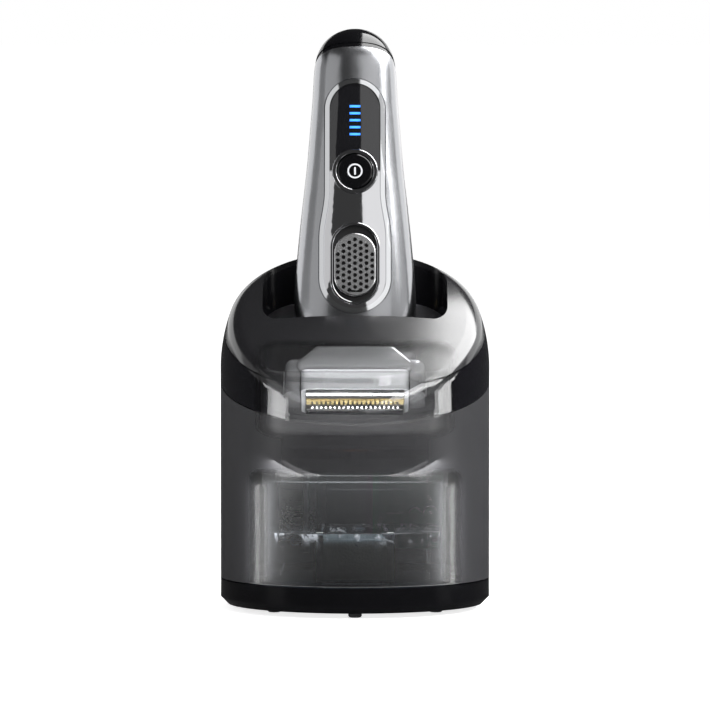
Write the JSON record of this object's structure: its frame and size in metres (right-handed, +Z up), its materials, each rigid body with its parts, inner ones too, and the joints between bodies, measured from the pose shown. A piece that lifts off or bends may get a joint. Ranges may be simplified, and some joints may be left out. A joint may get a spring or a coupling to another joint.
{
  "type": "foil shaver in cleaning station",
  "caption": "Electric foil shaver docked head-down in a cleaning and charging station: lifting housing, fluid cartridge, pump, pivoting head, floating foils, pop-out trimmer.",
  "frame": {"origin": "on the ground under the middle of the station's footprint", "axes": "+Z up, the station's front towards -Y, +X to the right of someone facing the front"},
  "size_m": [0.12, 0.116, 0.2583],
  "materials": {
    "silver_shell": "satin metallic",
    "chrome": "polished",
    "gloss_black": "high gloss",
    "cover_charcoal": "satin gloss",
    "housing_grey": "fine satin",
    "black_plastic": "matte",
    "dark_smoke": "satin",
    "light_grey": "satin",
    "steel": "brushed",
    "gold": "satin",
    "copper": "bare",
    "rubber": "matte",
    "blue_light": "frosted, lit",
    "clear_smoke": "clear",
    "fluid": "clear liquid",
    "filter_foam": "open mesh",
    "board_green": "satin",
    "cell_wrap": "gloss",
    "motor_steel": "satin"
  },
  "bodies": {
    "base": {"base_plinth": "gloss_black", "bottom_cover": "black_plastic", "rubber_feet": "rubber", "base_screws": "steel", "power_socket": "black_plastic", "socket_pins": "chrome", "guide_column": "dark_smoke", "lift_spring": "steel", "cartridge_tub": "clear_smoke", "cartridge_lid": "clear_smoke", "cartridge_filter": "filter_foam", "cleaning_fluid": "fluid"},
    "housing": {"front_housing": "housing_grey", "rear_housing": "housing_grey", "lower_band": "gloss_black", "top_cover": "cover_charcoal", "well_liner": "black_plastic", "wash_bowl": "dark_smoke", "heater_coil": "copper", "pump_motor": "motor_steel", "pump_housing": "black_plastic", "pump_hoses": "rubber", "lift_carriage": "dark_smoke", "station_board": "board_green", "contact_block": "black_plastic", "contact_pins": "gold"},
    "impeller": {"pump_impeller": "light_grey"},
    "lift_key": {"lift_button": "cover_charcoal"},
    "shaver": {"front_shell": "silver_shell", "back_shell": "black_plastic", "end_cap": "gloss_black", "tail_inlet": "black_plastic", "panel_bezel": "chrome", "front_panel": "gloss_black", "charge_lights": "blue_light", "inlay_rings": "chrome", "slider_track": "black_plastic", "battery": "cell_wrap", "main_board": "board_green", "drive_motor": "motor_steel", "neck_seal": "rubber", "swivel_yoke": "dark_smoke", "pivot_pin": "steel", "charge_contacts": "steel"},
    "power_key": {"power_button": "gloss_black", "power_symbol": "light_grey"},
    "head_lock": {"lock_slider": "steel"},
    "trimmer": {"trimmer_slide": "cover_charcoal", "trimmer_blade": "steel"},
    "head": {"head_frame": "silver_shell"},
    "release_left": {"release_button_left": "light_grey"},
    "release_right": {"release_button_right": "light_grey"},
    "cassette": {"cassette_frame": "light_grey"},
    "front_foil": {"foil_front": "steel"},
    "rear_foil": {"foil_rear": "steel"},
    "front_bar": {"trimmer_bar_front": "gold"},
    "rear_bar": {"trimmer_bar_rear": "steel"},
    "front_cutter": {"blade_front": "steel"},
    "rear_cutter": {"blade_rear": "steel"},
    "drive": {"drive_link": "light_grey"}
  },
  "joints": [
    {"name": "housing_lift", "type": "slide", "parent": "base", "child": "housing", "axis": [0, 0, 1], "range_m": [0, 0.062], "deforming": ["lift_spring"]},
    {"name": "pump_spin", "type": "hinge", "parent": "housing", "child": "impeller", "pos_m": [-0.026, 0.033, 0.06], "axis": [0, 0, 1], "continuous": true},
    {"name": "lift_press", "type": "slide", "parent": "housing", "child": "lift_key", "axis": [0, -1, 0], "range_m": [0, 0.0008], "stiffness_N_per_m": 3000},
    {"name": "shaver_withdraw", "type": "slide", "parent": "housing", "child": "shaver", "axis": [0, 0.225, 0.9744], "range_m": [0, 0.088]},
    {"name": "power_press", "type": "slide", "parent": "shaver", "child": "power_key", "axis": [0, 0.9657, -0.2597], "range_m": [0, 0.0008], "stiffness_N_per_m": 3000},
    {"name": "head_lock_slide", "type": "slide", "parent": "shaver", "child": "head_lock", "axis": [0, 0.2595, 0.9657], "range_m": [0, 0.003]},
    {"name": "trimmer_slide_out", "type": "slide", "parent": "shaver", "child": "trimmer", "axis": [0, -0.225, -0.9744], "range_m": [0, 0.005]},
    {"name": "head_pivot", "type": "hinge", "parent": "shaver", "child": "head", "pos_m": [0, -0.00138, 0.10616], "axis": [1, 0, 0], "range_deg": [-3, 24]},
    {"name": "release_left_press", "type": "slide", "parent": "head", "child": "release_left", "axis": [1, 0, 0], "range_m": [0, 0.001], "stiffness_N_per_m": 3000},
    {"name": "release_right_press", "type": "slide", "parent": "head", "child": "release_right", "axis": [-1, 0, 0], "range_m": [0, 0.001], "stiffness_N_per_m": 3000},
    {"name": "cassette_release", "type": "slide", "parent": "head", "child": "cassette", "axis": [0, -0.4226, -0.9063], "range_m": [0, 0.006]},
    {"name": "front_foil_float", "type": "slide", "parent": "cassette", "child": "front_foil", "axis": [0, 0.4226, 0.9063], "range_m": [0, 0.0015], "stiffness_N_per_m": 600},
    {"name": "rear_foil_float", "type": "slide", "parent": "cassette", "child": "rear_foil", "axis": [0, 0.4226, 0.9063], "range_m": [0, 0.0015], "stiffness_N_per_m": 600},
    {"name": "front_bar_float", "type": "slide", "parent": "cassette", "child": "front_bar", "axis": [0, 0.4226, 0.9063], "range_m": [0, 0.0015], "stiffness_N_per_m": 600},
    {"name": "rear_bar_float", "type": "slide", "parent": "cassette", "child": "rear_bar", "axis": [0, 0.4226, 0.9063], "range_m": [0, 0.0015], "stiffness_N_per_m": 600},
    {"name": "drive_stroke", "type": "slide", "parent": "head", "child": "drive", "axis": [1, 0, 0], "range_m": [-0.0011, 0.0011]},
    {"name": "front_cutter_stroke", "type": "slide", "parent": "front_foil", "child": "front_cutter", "axis": [1, 0, 0], "range_m": [-0.0011, 0.0011]},
    {"name": "rear_cutter_stroke", "type": "slide", "parent": "rear_foil", "child": "rear_cutter", "axis": [1, 0, 0], "range_m": [-0.0011, 0.0011]}
  ],
  "couplings": [
    {"joint": "front_cutter_stroke", "follows": "drive_stroke", "ratio": 1},
    {"joint": "rear_cutter_stroke", "follows": "drive_stroke", "ratio": 1}
  ]
}
